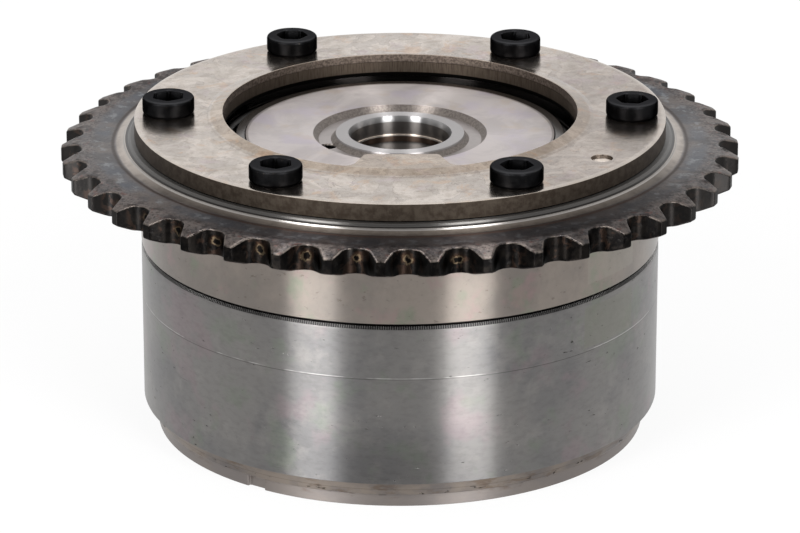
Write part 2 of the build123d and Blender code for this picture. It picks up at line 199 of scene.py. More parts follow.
class Finish(Nodes):
    """A metal finish under construction. Its places are object coordinates in millimetres."""

    def __init__(self, name):
        self.material = bpy.data.materials.new(name)
        self.material.use_nodes = True
        super().__init__(self.material.node_tree)
        self.tree.nodes.clear()
        coordinate = self.add("ShaderNodeTexCoord", output="Object")
        self.place = self.add("ShaderNodeVectorMath", {"operation": "SCALE"},
                              {0: coordinate, "Scale": 1 / MM})
        split = self.add("ShaderNodeSeparateXYZ", None, {0: self.place})
        x, y, self.height = split, split.out("Y"), split.out("Z")
        self.radius = x.math("SQRT", x * x + y * y)
        self.turn = x.math("ARCTAN2", x, -y) * (180 / math.pi)
        self.upward = self.add("ShaderNodeSeparateXYZ", None, {0: coordinate.out("Normal")}).out("Z")
        self.around = self.add("ShaderNodeCombineXYZ", None,
                               {0: self.turn * (math.pi / 180 * drum_radius), 1: self.height, 2: self.radius})

    def noise(self, size, detail=3.0, grain=0.5, place=None, stretch=(1, 1, 1), shift=(0, 0, 0), warp=0.0):
        """Cloudy pattern whose blotches are about size millimetres across, longer where stretch is more."""
        scale = tuple(1 / (size * part) for part in stretch)
        laid = self.add("ShaderNodeMapping", None,
                        {"Vector": place or self.place, "Scale": scale, "Location": shift})
        return self.add("ShaderNodeTexNoise", None, {
            "Vector": laid, "Scale": 1.0, "Detail": detail, "Roughness": grain, "Distortion": warp})

    def rise(self, value, low, high):
        """0 below low, 1 above high, smooth between. Low may be the larger one."""
        settings = {"interpolation_type": "SMOOTHSTEP", "clamp": True}
        if low > high:
            return 1 - self.rise(value, high, low)
        return self.add("ShaderNodeMapRange", settings, {"Value": value, "From Min": low, "From Max": high})

    def band(self, value, low, high, soft):
        """1 between low and high, 0 outside, with soft edges."""
        return self.rise(value, low - soft, low + soft) * self.rise(value, high + soft, high - soft)

    def field(self, label):
        """1 inside a rectangle on a turned wall, given as its turns and its heights."""
        turns, heights = label
        return self.band(self.turn, *turns, 0.15) * self.band(self.height, *heights, 0.08)

    def mix(self, factor, first, second, blend="MIX"):
        """The first colour where the factor is 0, the second where it is 1."""
        settings = {"data_type": "RGBA", "blend_type": blend, "clamp_factor": True}
        return self.add("ShaderNodeMix", settings, {"Factor": factor, 6: first, 7: second}, output=2)

    def shade(self, factor, colour, tint):
        """Multiplies a colour by a tint where the factor is 1."""
        return self.mix(factor, colour, tint, "MULTIPLY")

    def bump(self, height, depth, under=None):
        """Relief of a 0 to 1 height pattern, depth in millimetres."""
        inputs = {"Height": height, "Distance": depth * MM, "Strength": 1.0}
        if under:
            inputs["Normal"] = under
        return self.add("ShaderNodeBump", None, inputs)

    def metal(self, colour, roughness, normal=None, anisotropic=0.0, metallic=1.0, edge=1.0):
        """Ends the finish. A constant quarter turn lays the stretched gloss across the turning marks."""
        inputs = {"Base Color": colour, "Metallic": metallic, "Roughness": roughness,
                  "Anisotropic": anisotropic, "Anisotropic Rotation": 0.25,
                  "Specular Tint": (edge, edge, edge)}
        if normal:
            inputs["Normal"] = normal
        surface = self.add("ShaderNodeBsdfPrincipled", None, inputs)
        self.add("ShaderNodeOutputMaterial", None, {"Surface": surface})
        return self.material


# Finishes
def drum_finish():
    f = Finish("ground_drum")
    clouds = f.noise(19, 4, 0.55)
    patches = f.noise(6, 5, 0.65, shift=(4, 1, 7))
    colour = f.mix(f.rise(clouds, 0.38, 0.62), tone(112, 111, 111), tone(125, 123, 121))
    colour = f.mix(f.rise(patches, 0.5, 0.7) * 0.5, colour, tone(138, 135, 132))
    pink = f.rise(f.noise(10, 4, 0.6, shift=(9, 2, 3)), 0.54, 0.66)
    green = f.rise(f.noise(8, 4, 0.6, shift=(2, 8, 5)), 0.56, 0.68)
    colour = f.mix(pink * 0.4, colour, tone(136, 120, 124))
    colour = f.mix(green * 0.35, colour, tone(113, 124, 108))
    grain = f.noise(0.8, 3, 0.7, f.around, (2.2, 1, 1), (3, 1, 2))
    colour = f.shade(f.rise(grain, 0.42, 0.7) * 0.28, colour, (0.62, 0.6, 0.6))
    pits = f.rise(f.noise(0.6, 3, 0.6, f.around, (2.4, 1, 1)), 0.66, 0.72)
    pits = pits * f.rise(f.noise(7, 3, 0.6, shift=(1, 4, 2)), 0.46, 0.6)
    scores = f.rise(f.noise(0.3, 2, 0.5, f.around, (26, 0.7, 1), (5, 2, 1)), 0.7, 0.75)
    scores = scores * f.rise(f.noise(14, 3, 0.6, shift=(7, 3, 8)), 0.5, 0.62)
    colour = f.mix(pits * 0.8, colour, tone(50, 45, 42))
    colour = f.mix(scores * 0.55, colour, tone(70, 66, 64))
    broken = f.rise(f.noise(2.4, 3, 0.6, f.around, (3, 1, 1)), 0.44, 0.56)
    # Painted highlight and painted shadow: a broken bright line, with a dark band under it, stands for the
    # lit and shaded sides of the witness step.
    witness_highlight = f.band(f.height, 22.7, 22.82, 0.05)
    colour = f.mix(witness_highlight * broken * 0.7, colour, tone(188, 186, 184))
    shadow = f.band(f.height, 22.5, 22.62, 0.05)
    colour = f.mix(shadow * (1 - broken * 0.6) * 0.6, colour, tone(62, 59, 57))
    label = f.field(drum_label) * f.rise(f.radius, 42.3, 42.4)
    etched = f.mix(f.noise(1.4, 3), tone(132, 133, 122), tone(146, 146, 136))
    colour = f.mix(label * 0.45, colour, etched)
    # Painted shade: the chamfer under the ribs is darkened, and it is painted black along the joint with the
    # chain wheel.
    rim = f.rise(f.height, drum_top - 0.68, drum_top - 0.6) * f.rise(f.radius, 41.8, 41.9)
    joint_shade = f.rise(f.height, drum_top - 0.2, drum_top - 0.1)
    colour = f.mix(rim, colour, f.mix(joint_shade, tone(50, 49, 49), tone(14, 13, 13)))
    # Painted shade: the front of the drum is darkened towards the bottom.
    low = f.rise(f.height, 17, 7) * f.rise(abs(f.turn), 22, 12)
    colour = f.shade(low, colour, (0.72, 0.72, 0.73))
    inside = f.rise(f.radius, 42.0, 41.8)
    colour = f.mix(inside, colour, tone(120, 116, 112))
    lines = f.noise(0.35, 2, 0.5, f.around, (60, 0.35, 1))
    smudge = f.noise(5, 3)
    rough = 0.32 + 0.04 * smudge + label * 0.08 + pits * 0.2 + rim * 0.1
    normal = f.bump(lines, 0.003)
    normal = f.bump(1 - pits, 0.03, normal)
    return f.metal(colour, rough, normal, anisotropic=1.0)


def wheel_finish():
    f = Finish("turned_wheel")
    fine = f.noise(1.1, 4, 0.7)
    web = f.rise(f.radius, 42.75, 43.2)
    colour = f.mix(web, wheel_body(f, fine), wheel_web(f, fine))
    side = f.rise(abs(f.upward), 0.72, 0.5) * f.rise(f.radius, 50.4, 50.9)
    colour = f.mix(side, colour, tooth_side(f, fine))
    burr = f.band(f.upward, 0.35, 0.9, 0.12) * f.rise(f.radius, 51.4, 51.8) * f.rise(fine, 0.38, 0.6)
    colour = f.mix(burr * 0.6, colour, tone(142, 132, 124))
    # Painted shade on the downward faces of the flange and teeth.
    under = f.rise(f.upward, -0.5, -0.8) * web
    colour = f.shade(under, colour, (0.7, 0.68, 0.66))
    # Painted shade: the spring pocket, journal ring and bore inside the wheel are darkened.
    inner = f.rise(f.radius, 42.0, 41.8)
    colour = f.mix(inner, colour, tone(88, 84, 82))
    # Painted shade: black along the joint with the drum's rim.
    joint_shade = f.rise(f.height, drum_top + 0.36, drum_top + 0.3) * f.rise(f.radius, 42.0, 42.1)
    colour = f.mix(joint_shade, colour, tone(12, 11, 11))
    boss = f.band(f.radius, 43.2, 46.6, 0.2) * f.rise(f.height, wheel_top - 0.3, wheel_top - 0.1)
    rough = 0.28 + fine * web * 0.06 + web * 0.16 - boss * 0.15 + side * 0.1 - inner * 0.1
    lines = f.noise(0.4, 2, 0.5, f.around, (60, 0.4, 0.4))
    normal = f.bump(lines * (1 - boss), 0.003)
    normal = f.bump(f.noise(0.5, 3) * (1 - boss) * web, 0.02, normal)
    return f.metal(colour, rough, normal, anisotropic=1.0)


def wheel_body(f, fine):
    """Brown-grey turned wall under the teeth, with the bare field of a label."""
    clouds = f.noise(13, 4, 0.6)
    body = f.mix(f.rise(clouds, 0.38, 0.62), tone(122, 116, 111), tone(136, 128, 121))
    green = f.rise(f.noise(7, 4, 0.6, shift=(5, 1, 2)), 0.55, 0.68)
    body = f.mix(green * 0.6, body, tone(116, 124, 108))
    rose = f.rise(f.noise(6, 4, 0.6, shift=(1, 9, 4)), 0.56, 0.68)
    body = f.mix(rose * 0.5, body, tone(142, 120, 120))
    specks = f.rise(f.noise(0.7, 3, 0.6, f.around, (1.8, 1, 1), (4, 4, 4)), 0.64, 0.72)
    body = f.mix(specks * 0.45, body, tone(84, 76, 68))
    body = f.shade(f.rise(fine, 0.45, 0.7) * 0.2, body, (0.7, 0.68, 0.66))
    return f.mix(f.field(wheel_label) * 0.25, body, tone(150, 148, 138))


def wheel_web(f, fine):
    """Heat-tinted flange: smooth beige boss, brown ring at its root, blue and dusty grey out to the teeth,
    with painted shade over the front and a painted highlight on the boss's step.
    """
    beside = f.rise(abs(f.turn - 8), 26, 74)
    tint = f.noise(5, 4, 0.65, shift=(3, 6, 1))
    web = f.mix(f.rise(tint, 0.4, 0.6), tone(96, 93, 94), tone(122, 114, 110))
    blue = f.band(f.radius, 47.4, 50.4, 0.9) * f.rise(f.noise(9, 3, 0.6, shift=(8, 8, 1)), 0.38, 0.56)
    web = f.mix(blue * (0.15 + 0.45 * beside), web, tone(100, 106, 116))
    pale = f.band(f.radius, 48.0, 50.4, 0.7) * f.rise(f.noise(2.4, 4, 0.65, shift=(2, 1, 6)), 0.52, 0.62)
    web = f.mix(pale * 0.65, web, tone(156, 158, 160))
    wander = (f.noise(5, 3, 0.6, shift=(6, 6, 2)) - 0.5) * 0.5
    outer = f.rise(f.radius, 49.4, 51.0)
    grit = f.noise(0.5, 3, 0.75, shift=(4, 4, 8))
    web = f.mix(f.rise(fine, 0.46, 0.6) * outer * 0.6, web, tone(122, 112, 109))
    web = f.mix(f.rise(grit, 0.52, 0.64) * outer * 0.5, web, tone(150, 139, 134))
    web = f.mix(f.rise(grit, 0.46, 0.38) * (0.3 + 0.5 * outer), web, tone(54, 48, 46))
    soot = f.rise(f.noise(2.2, 5, 0.65, shift=(2, 5, 9)), 0.5, 0.6) * f.rise(f.radius, 48.6, 51.5)
    web = f.mix(soot * 0.7, web, tone(58, 51, 50))
    rust = f.rise(f.noise(1.2, 4, 0.65, shift=(9, 1, 5)), 0.58, 0.66) * f.rise(f.radius, 50.0, 51.2)
    web = f.mix(rust * 0.6, web, tone(120, 84, 78))
    # Painted shade: the web is darkened over the front, less towards the teeth.
    front_shade = (0.45 + 0.55 * f.rise(f.radius, 52.4, 50.8)) * (1 - beside)
    web = f.shade(front_shade, web, (0.22, 0.21, 0.21))
    stains = f.noise(2.6, 4, 0.65, shift=(4, 2, 2))
    polish = f.mix(f.rise(stains, 0.35, 0.65), tone(146, 136, 128), tone(176, 166, 157))
    polish = f.mix(f.rise(f.radius, 46.2, 45.0) * 0.5, polish, tone(196, 186, 177))
    # Painted shade: the polished boss is darkened over the front and left light at the sides.
    unshaded_sides = f.rise(abs(f.turn - 4), 56, 82)
    polish = f.shade(1 - unshaded_sides, polish, (0.3, 0.29, 0.28))
    web = f.mix(f.rise(f.radius, 46.5, 46.1), web, polish)
    brown = f.band(f.radius + wander, 46.5, 47.1, 0.2)
    web = f.mix(brown * 0.85, web, tone(60, 46, 40))
    # Painted highlight along the edge of the boss's step.
    line = f.band(f.radius, 44.92, 45.16, 0.05)
    web = f.mix(line * 0.8, web, tone(176, 172, 168))
    # Painted shade: the boss's step by the plate is darkened, darkest under the plate's edge.
    step = f.mix(f.rise(f.radius, 44.5, 44.3), tone(60, 58, 57), tone(92, 90, 88))
    return f.mix(f.rise(f.radius, 44.88, 44.8), web, step)


def tooth_side(f, fine):
    """Burnt black tooth flanks and seats, with brown patches and pale-edged spots in the front seats, and
    painted light towards the sides.
    """
    burnt = f.mix(f.rise(f.noise(1.8, 4, 0.65), 0.4, 0.62), tone(20, 19, 19), tone(37, 34, 32))
    patch = f.rise(f.noise(2.2, 4, 0.6, shift=(5, 5, 5), warp=0.8), 0.52, 0.56)
    seat = f.rise(f.radius, 54.2, 53.6)
    sides = f.rise(abs(f.turn), 40, 70)
    left = f.rise(f.turn, -40, -70)
    burnt = f.mix(patch * seat * (0.2 + 0.6 * left), burnt, tone(94, 72, 60))
    grey = f.rise(f.noise(1.6, 4, 0.65, shift=(8, 2, 5), warp=0.8), 0.6, 0.64)
    burnt = f.mix(grey * 0.3, burnt, tone(66, 64, 63))
    pitch = 360 / tooth_count
    first = tip_angle + 90 + pitch / 2
    across = f.turn.math("PINGPONG", f.turn - first + 720, pitch / 2) * (math.pi / 180 * root_radius)
    stray = f.noise(9, 1, 0.5, shift=(3, 3, 3)) - 0.5
    rise = f.height - (wheel_under + wheel_top) / 2 - 0.3 - stray * 1.4
    ragged = (f.noise(0.8, 3, 0.65, shift=(1, 2, 3)) - 0.5) * 1.4
    aside = across + stray * 2.4
    spot = f.radius.math("SQRT", aside * aside + rise * rise) + ragged
    front = f.band(f.turn, -62, 14, 5) * f.rise(f.radius, 52.6, 52.3)
    spot = spot - 0.5 - stray * 0.9
    halo = f.band(spot, 0.0, 0.6, 0.35) * f.rise(rise, -0.9, 0.0)
    burnt = f.mix(front * halo * 0.6, burnt, tone(70, 52, 40))
    burnt = f.mix(front * f.band(spot, 0.0, 0.28, 0.1) * 0.6, burnt, tone(114, 100, 80))
    burnt = f.mix(front * f.rise(spot, 0.0, -0.12) * 0.85, burnt, tone(15, 14, 13))
    # Painted light: the flanks and seats are lightened towards the left and right sides of the wheel.
    return f.mix(sides * 0.55, burnt, tone(72, 70, 69))


def plate_finish():
    f = Finish("blanked_plate")
    clouds = f.noise(9, 5, 0.65, warp=0.8)
    flecks = f.noise(1.6, 4, 0.65, shift=(3, 1, 8))
    colour = f.mix(f.rise(clouds, 0.4, 0.6), tone(182, 172, 162), tone(208, 198, 189))
    stain = f.noise(7, 4, 0.55, shift=(12, 4, 2), warp=1.4)
    colour = f.mix(f.rise(stain, 0.52, 0.535) * 0.4, colour, tone(168, 160, 154))
    edge = f.band(stain, 0.52, 0.53, 0.008)
    colour = f.mix(edge * 0.6, colour, tone(128, 117, 109))
    ochre = f.rise(f.noise(4, 5, 0.65, shift=(6, 2, 1), warp=0.6), 0.54, 0.68)
    colour = f.mix(ochre * 0.6, colour, tone(196, 166, 140))
    mauve = f.rise(f.noise(5, 4, 0.6, shift=(1, 7, 4), warp=0.6), 0.55, 0.68)
    colour = f.mix(mauve * 0.4, colour, tone(184, 166, 172))
    colour = f.shade(f.rise(flecks, 0.46, 0.62) * 0.5, colour, (0.72, 0.68, 0.65))
    specks = f.noise(0.38, 3, 0.7, shift=(3, 9, 8))
    colour = f.mix(f.rise(specks, 0.56, 0.72) * 0.4, colour, tone(118, 106, 96))
    colour = f.mix(f.rise(specks, 0.42, 0.3) * 0.3, colour, tone(222, 214, 206))
    # Painted shade: the right side of the plate is darkened.
    right = f.rise(f.turn, 8, 42) * f.rise(f.turn, 160, 110)
    colour = f.shade(right, colour, (0.74, 0.72, 0.71))
    lip = f.rise(f.radius, 31.4, 31.1) * f.rise(f.height, plate_top + 0.15, plate_top + 0.25)
    colour = f.shade(lip, colour, (0.86, 0.81, 0.75))
    foot = f.band(f.radius, 31.25, 31.5, 0.15)
    colour = f.mix(foot * flecks * 0.8, colour, tone(146, 136, 128))
    wall = f.rise(f.upward, 0.72, 0.55)
    shear = f.noise(0.28, 3, 0.6, f.around, (0.7, 9, 1))
    mottle = f.noise(1.3, 4, 0.65, shift=(5, 3, 6))
    rim = f.mix(f.rise(mottle, 0.35, 0.65), tone(62, 54, 47), tone(79, 71, 63))
    rim = f.shade(f.rise(shear, 0.5, 0.8) * 0.5, rim, (0.68, 0.66, 0.64))
    torn = f.rise(f.height, lip_top - 1.36, lip_top - 1.24)
    grain = f.noise(0.4, 3, 0.7, shift=(7, 7, 1))
    broken = f.mix(f.rise(grain, 0.38, 0.62), tone(84, 75, 68), tone(122, 111, 102))
    sheared = f.mix(f.rise(shear, 0.4, 0.7), tone(88, 79, 70), tone(66, 57, 49))
    hole = f.mix(torn, sheared, broken)
    # Painted shade: the lowest part of the hole's wall and of the outer edge is painted black.
    hole = f.mix(f.rise(f.height, boss_top + 0.7, boss_top + 0.58), hole, tone(10, 9, 8))
    rim = f.mix(f.rise(f.height, boss_top + 0.22, boss_top + 0.14), rim, tone(10, 9, 8))
    colour = f.mix(wall, colour, f.mix(f.rise(f.radius, 38, 40), hole, rim))
    # Painted highlight on the rolled outer edge of the top face.
    rolled = f.rise(f.radius, 42.2, 42.9)
    colour = f.mix(rolled * (1 - wall) * 0.5, colour, tone(206, 197, 188))
    floor = f.rise(f.height, plate_top - 0.25, plate_top - 0.35) * f.rise(f.radius, 35, 36) * (1 - wall)
    rough = 0.14 + 0.14 * clouds + wall * 0.26
    normal = f.bump(f.noise(0.7, 4, 0.65), 0.012)
    normal = f.bump(grain * torn * wall * f.rise(f.radius, 34, 33), 0.06, normal)
    colour = f.mix(floor, colour, tone(236, 226, 216))
    return f.metal(colour, rough, normal, metallic=1 - floor * 0.7)


def rotor_finish():
    f = Finish("ground_rotor")
    clouds = f.noise(8, 5, 0.65, warp=0.6)
    colour = f.mix(f.rise(clouds, 0.38, 0.62), tone(186, 178, 177), tone(204, 196, 194))
    lavender = f.rise(f.noise(8, 3, 0.5, shift=(2, 6, 3)), 0.5, 0.66)
    colour = f.mix(lavender * 0.45, colour, tone(190, 180, 196))
    ochre = f.rise(f.noise(5, 4, 0.6, shift=(7, 3, 2)), 0.54, 0.68)
    colour = f.mix(ochre * 0.35, colour, tone(196, 178, 158))
    # Painted shade: the face is darkened towards the back.
    colour = f.shade(f.rise(abs(f.turn), 110, 165), colour, (0.74, 0.74, 0.73))
    recess = f.rise(f.radius, 14.3, 14.1)
    floor = f.mix(f.noise(1.2, 4, 0.6), tone(150, 143, 140), tone(176, 168, 166))
    colour = f.mix(recess, colour, floor)
    collar = f.rise(f.radius, 10.6, 10.45)
    slope = recess * f.rise(f.upward, 0.93, 0.85) * (1 - collar)
    grit = f.rise(f.noise(0.4, 3, 0.7), 0.4, 0.6)
    colour = f.mix(slope, colour, f.mix(grit, tone(130, 122, 117), tone(152, 144, 138)))
    colour = f.mix(collar, colour, tone(178, 175, 175))
    bore = f.rise(f.radius, 8.6, 8.4)
    colour = f.mix(bore, colour, tone(168, 167, 167))
    # Painted shade: the bore is darker below its mouth.
    deep_shade = bore * f.rise(f.height, 48.3, 48.1)
    colour = f.mix(deep_shade, colour, tone(108, 104, 101))
    # Painted highlight on the ledge inside the bore.
    colour = f.mix(bore * f.band(f.height, 45.8, 46.05, 0.05), colour, tone(236, 226, 216))
    # Painted shade in the bore's throat: dark brown below the ledge, black further down.
    throat_shade = f.rise(f.radius, 13.5, 13.3) * f.band(f.height, 18, 45.75, 0.05)
    colour = f.mix(throat_shade, colour, f.mix(f.rise(f.height, 44.9, 44.7), tone(96, 80, 70), tone(4, 4, 4)))
    # Painted shade: the rotor's outer edge by the journal gap is darkened.
    ring = f.rise(f.radius, 24.7, 24.95)
    colour = f.shade(ring, colour, (0.5, 0.48, 0.46))
    hidden = f.rise(f.height, 45.0, 44.0)
    colour = f.mix(hidden * (1 - bore), colour, tone(138, 132, 128))
    # Painted shade: the vent hole is painted black.
    vent_shade = f.rise(f.radius, 10.5, 10.6) * f.rise(f.radius, 13.4, 13.3) * f.rise(f.height, 47.9, 47.7)
    colour = f.mix(vent_shade, colour, tone(10, 9, 9))
    disc = f.rise(f.radius, 14.2, 14.4)
    lines = f.noise(0.3, 2, 0.5, f.around, (60, 0.4, 0.3))
    rough = 0.26 + 0.1 * clouds + disc * 0.07 + (collar - bore) * 0.1 + slope * 0.2
    normal = f.bump(lines, 0.003)
    return f.metal(colour, rough, normal, anisotropic=0.95, metallic=1 - disc * 0.12)


def cover_finish():
    f = Finish("turned_cover")
    clouds = f.noise(6, 5, 0.65, f.around, (1.8, 1, 1))
    colour = f.mix(f.rise(clouds, 0.38, 0.62), tone(106, 101, 99), tone(128, 119, 111))
    lower = f.rise(f.height, 2.3, 2.0)
    colour = f.mix(lower * 0.7, colour, tone(130, 124, 121))
    rust = f.rise(f.noise(1.8, 5, 0.65, f.around, (3, 1, 1)), 0.52, 0.66)
    rust = rust * f.band(f.height, 1.4, 4.2, 0.4)
    colour = f.mix(rust * 0.5, colour, tone(92, 74, 58))
    pits = f.rise(f.noise(0.8, 3, 0.65, f.around, (2.8, 1, 1)), 0.58, 0.66) * f.band(f.height, 2.0, 3.1, 0.3)
    colour = f.mix(pits * 0.85, colour, tone(32, 26, 22))
    # Painted shade in the grooves at the two tier steps.
    groove = f.band(f.height, 3.15, 3.25, 0.07) + f.band(f.height, 2.12, 2.24, 0.06)
    colour = f.shade(groove * 0.5, colour, (0.5, 0.46, 0.43))
    lines = f.noise(0.3, 2, 0.5, f.around, (60, 0.4, 0.4))
    rough = 0.38 + 0.1 * clouds + pits * 0.2
    normal = f.bump(lines, 0.008)
    normal = f.bump(1 - pits, 0.06, normal)
    return f.metal(colour, rough, normal, anisotropic=0.8)


def plain_finish(name, dark, light, rough, size=3.0, metallic=1.0, depth=0.01, anisotropic=0.0):
    """Even finish with soft clouds and a fine grain."""
    f = Finish(name)
    clouds = f.noise(size, 4, 0.6)
    grain = f.noise(size / 8, 3, 0.6, shift=(3, 2, 1))
    colour = f.mix(f.rise(clouds, 0.36, 0.64), dark, light)
    surface = rough + 0.12 * (clouds - 0.5) + 0.06 * (grain - 0.5)
    return f.metal(colour, surface, f.bump(grain, depth), anisotropic, metallic)


def screw_finish():
    f = Finish("black_oxide")
    clouds = f.noise(2.5, 4, 0.6)
    grain = f.noise(0.22, 3, 0.65)
    colour = f.mix(f.rise(clouds, 0.38, 0.62), tone(15, 15, 16), tone(25, 25, 26))
    dust = f.rise(f.noise(0.8, 4, 0.7, shift=(3, 5, 1)), 0.62, 0.72) * f.rise(f.upward, -0.1, 0.25)
    colour = f.mix(dust * 0.5, colour, tone(92, 84, 76))
    # Painted light: the top face of the head is lightened.
    top = f.rise(f.upward, 0.5, 0.85) * f.rise(f.height, plate_top + 2.0, plate_top + 2.3)
    colour = f.mix(top * 0.85, colour, f.mix(grain, tone(54, 54, 56), tone(76, 76, 78)))
    rough = 0.36 + 0.14 * (clouds - 0.5) + 0.08 * grain
    return f.metal(colour, rough, f.bump(grain, 0.012), edge=0.35)


# Mesh helpers
def polar(radius, degrees):
    turn = math.radians(degrees)
    return radius * math.cos(turn), radius * math.sin(turn)


def new_object(name, mesh):
    made = bpy.data.objects.new(name, mesh)
    bpy.context.scene.collection.objects.link(made)
    return made


def cleaned(mesh, *steps):
    """Runs cleaning steps, each a function of the open mesh, and returns the mesh."""
    work = bmesh.new()
    work.from_mesh(mesh)
    for step in steps:
        step(work)
    work.to_mesh(mesh)
    work.free()
    return mesh


def merged(distance):
    """Cleaning step that merges doubles."""
    return lambda work: bmesh.ops.remove_doubles(work, verts=work.verts, dist=distance)


def mesh_of(name, points, faces):
    """Mesh from points in millimetres, with doubles merged and faces pointing out."""
    mesh = bpy.data.meshes.new(name)
    mesh.from_pydata([tuple(value * MM for value in point) for point in points], [], faces)
    return cleaned(mesh, merged(0.5e-6), lambda work: bmesh.ops.recalc_face_normals(work, faces=work.faces))


def worked_out(maker):
    """Mesh of an object as its modifiers leave it. The object is gone afterwards."""
    bpy.context.view_layer.update()
    ready = maker.evaluated_get(bpy.context.evaluated_depsgraph_get())
    mesh = bpy.data.meshes.new_from_object(ready)
    bpy.data.objects.remove(maker)
    return mesh


def settled(maker, name, crease=32):
    """Plain mesh of an object with its modifiers worked out, smooth up to the crease angle."""
    mesh = worked_out(maker)
    mesh.name = name
    mesh.shade_smooth()
    mesh.set_sharp_from_angle(angle=math.radians(crease))
    return new_object(name, mesh)


def flat_faced(piece):
    """The same piece with its flat faces shaded flat right up to their broken edges."""
    name = piece.name
    weighted = piece.modifiers.new("flat_faces", "WEIGHTED_NORMAL")
    weighted.mode = "FACE_AREA"
    weighted.keep_sharp = True
    return new_object(name, worked_out(piece))


def painted(piece, finish):
    piece.data.materials.clear()
    piece.data.materials.append(finish)


def mount(piece, node, body, finish):
    """Puts a finished piece in a node's place, on its body, in its finish."""
    painted(piece, finish)
    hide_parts(node)
    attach(piece, body)


def dressed(node, edge, least=32):
    """Copy of a CAD node with whole flat faces and softly broken edges, from the least angle up."""
    def whole_faces(work):
        bmesh.ops.dissolve_limit(work, angle_limit=math.radians(0.6), verts=work.verts, edges=work.edges)

    mesh = cleaned(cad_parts[node].data.copy(), merged(1e-6), whole_faces)
    maker = new_object(node + "_maker", mesh)
    bevel = maker.modifiers.new("broken_edges", "BEVEL")
    bevel.width = edge * MM
    bevel.segments = 2
    bevel.limit_method = "ANGLE"
    bevel.angle_limit = math.radians(least)
    bevel.use_clamp_overlap = True
    bevel.miter_outer = "MITER_ARC"
    return settled(maker, node + "_dressed")


# Geometry Nodes
def new_tree(name, inputs):
    """Geometry Nodes tree with named inputs, as (tree, its nodes, its group input)."""
    tree = bpy.data.node_groups.new(name, "GeometryNodeTree")
    tree.interface.new_socket("Geometry", in_out="INPUT", socket_type="NodeSocketGeometry")
    for label, kind in inputs:
        tree.interface.new_socket(label, in_out="INPUT", socket_type=kind)
    tree.interface.new_socket("Geometry", in_out="OUTPUT", socket_type="NodeSocketGeometry")
    nodes = Nodes(tree)
    return tree, nodes, nodes.add("NodeGroupInput")


def ring_tree():
    """Copies of one pattern, set evenly about the axis and merged where they meet."""
    tree, nodes, given = new_tree("ring_of_copies", (
        ("Pattern", "NodeSocketObject"), ("Count", "NodeSocketInt"), ("First Angle", "NodeSocketFloat"),
        ("Merge Distance", "NodeSocketFloat"), ("Finish", "NodeSocketMaterial")))
    points = nodes.add("GeometryNodePoints", None, {"Count": given.out("Count")})
    index = nodes.add("GeometryNodeInputIndex")
    angle = index * (2 * math.pi) / given.out("Count") + given.out("First Angle")
    spin = nodes.add("ShaderNodeCombineXYZ", None, {"Z": angle})
    pattern = nodes.add("GeometryNodeObjectInfo", {"transform_space": "ORIGINAL"},
                        {"Object": given.out("Pattern")}, output="Geometry")
    copies = nodes.add("GeometryNodeInstanceOnPoints", None,
                       {"Points": points, "Instance": pattern, "Rotation": spin})
    return finish_tree(tree, nodes, given, copies, given.out("Merge Distance"))


def marks_tree():
    """One copy of a pattern at every mark, turned by the mark's own angle."""
    tree, nodes, given = new_tree("copies_at_marks", (
        ("Pattern", "NodeSocketObject"), ("Finish", "NodeSocketMaterial")))
    turn = nodes.add("GeometryNodeInputNamedAttribute", {"data_type": "FLOAT"}, {"Name": "turn"})
    spin = nodes.add("ShaderNodeCombineXYZ", None, {"Z": turn})
    pattern = nodes.add("GeometryNodeObjectInfo", {"transform_space": "ORIGINAL"},
                        {"Object": given.out("Pattern")}, output="Geometry")
    copies = nodes.add("GeometryNodeInstanceOnPoints", None,
                       {"Points": given.out("Geometry"), "Instance": pattern, "Rotation": spin})
    return finish_tree(tree, nodes, given, copies, 0.0)


def wire_tree():
    """Round wire along the host curve, with bent corners and closed ends."""
    tree, nodes, given = new_tree("round_wire", (
        ("Radius", "NodeSocketFloat"), ("Bend", "NodeSocketFloat"), ("Sides", "NodeSocketInt"),
        ("Finish", "NodeSocketMaterial")))
    bent = nodes.add("GeometryNodeFilletCurve", None, {
        "Curve": given.out("Geometry"), "Radius": given.out("Bend"), "Limit Radius": True})
    section = nodes.add("GeometryNodeCurvePrimitiveCircle", None,
                        {"Resolution": given.out("Sides"), "Radius": given.out("Radius")})
    tube = nodes.add("GeometryNodeCurveToMesh", None,
                     {"Curve": bent, "Profile Curve": section, "Fill Caps": True})
    return finish_tree(tree, nodes, given, tube, 0.0)


def finish_tree(tree, nodes, given, shape, merge):
    """Ends a tree: copies made real, doubles merged, finish set."""
    real = nodes.add("GeometryNodeRealizeInstances", None, {"Geometry": shape})
    joined = nodes.add("GeometryNodeMergeByDistance", None, {"Geometry": real, "Distance": merge})
    done = nodes.add("GeometryNodeSetMaterial", None, {"Geometry": joined, "Material": given.out("Finish")})
    nodes.add("NodeGroupOutput", None, {"Geometry": done})
    return tree


def grown(host, tree, name, crease=32, **values):
    """Runs a tree on a host object and returns its result as a plain mesh object."""
    grower = host.modifiers.new(tree.name, "NODES")
    grower.node_group = tree
    for item in tree.interface.items_tree:
        key = item.name.replace(" ", "_").lower()
        if item.in_out == "INPUT" and key in values:
            grower[item.identifier] = values[key]
    return settled(host, name, crease)


